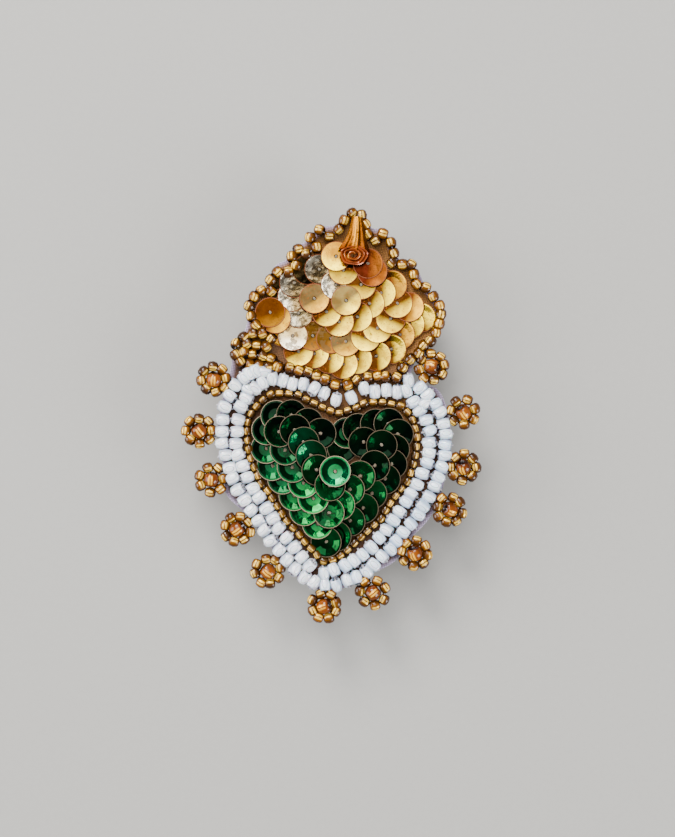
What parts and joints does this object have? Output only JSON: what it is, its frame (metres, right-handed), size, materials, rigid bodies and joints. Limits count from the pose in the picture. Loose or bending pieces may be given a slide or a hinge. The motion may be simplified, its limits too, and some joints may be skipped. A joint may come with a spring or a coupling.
{
  "type": "heart brooch",
  "caption": "Flaming heart brooch of sewn beads and cup sequins on a stiff woven base, with beaded florets round it and a locking pin on its felt back.",
  "frame": {"origin": "under the middle of the brooch's outline, on the surface that its pin finding lies on", "axes": "+Z towards the beaded front, +Y towards the tip of the flame, +X to the right seen from the front"},
  "size_m": [0.0586, 0.0818, 0.0142],
  "materials": {
    "felt": "matte pressed felt",
    "woven_mesh": "stiff open weave, lilac-white",
    "bronze_beads": "bronze metallic glass seed beads",
    "pearl_beads": "opaque pearl glass beads",
    "amber_beads": "silver-lined amber glass beads",
    "green_sequins": "faceted emerald foil",
    "gold_sequins": "gold foil with a copper tinge",
    "amber_sequins": "translucent dark amber foil",
    "sewing_thread": "waxed sewing thread",
    "steel": "nickel-plated steel"
  },
  "bodies": {
    "brooch": {"felt_backing": "felt", "woven_base": "woven_mesh", "heart_outline_strand": "bronze_beads", "pearl_row_inner_right": "pearl_beads", "pearl_row_top": "pearl_beads", "pearl_row_inner_left": "pearl_beads", "pearl_row_outer_right": "pearl_beads", "pearl_row_outer_left": "pearl_beads", "floret_01": "amber_beads", "floret_02": "amber_beads", "floret_03": "amber_beads", "floret_04": "amber_beads", "floret_05": "amber_beads", "floret_06": "amber_beads", "floret_07": "amber_beads", "floret_08": "amber_beads", "floret_09": "amber_beads", "floret_10": "amber_beads", "floret_11": "amber_beads", "floret_12": "amber_beads", "green_turn_outer": "green_sequins", "green_turn_middle": "green_sequins", "green_turn_centre": "green_sequins", "gold_row_outer": "gold_sequins", "gold_row_middle": "gold_sequins", "gold_row_inner": "gold_sequins", "flame_strand_base": "amber_beads", "flame_strand_right": "amber_beads", "flame_strand_left": "amber_beads", "flame_patch_strand": "amber_beads", "side_tab_sequins": "amber_sequins", "folded_tip": "amber_sequins", "tip_rosette": "amber_sequins", "pin_bar": "steel", "stitch_hinge_end": "sewing_thread", "stitch_middle": "sewing_thread", "stitch_catch_end": "sewing_thread", "hinge_rivet": "steel", "catch_housing": "steel"},
    "pin_stem": {"pin_stem": "steel"},
    "catch_roller": {"catch_roller": "steel"}
  },
  "joints": [
    {"name": "stem_hinge", "type": "hinge", "parent": "brooch", "child": "pin_stem", "pos_m": [-0.01284, -0.00121, 0.00167], "axis": [0, 1, 0], "range_deg": [0, 100]},
    {"name": "catch_turn", "type": "hinge", "parent": "brooch", "child": "catch_roller", "pos_m": [0.01266, -0.00121, 0.00167], "axis": [-1, 0, 0], "range_deg": [0, 90]}
  ]
}
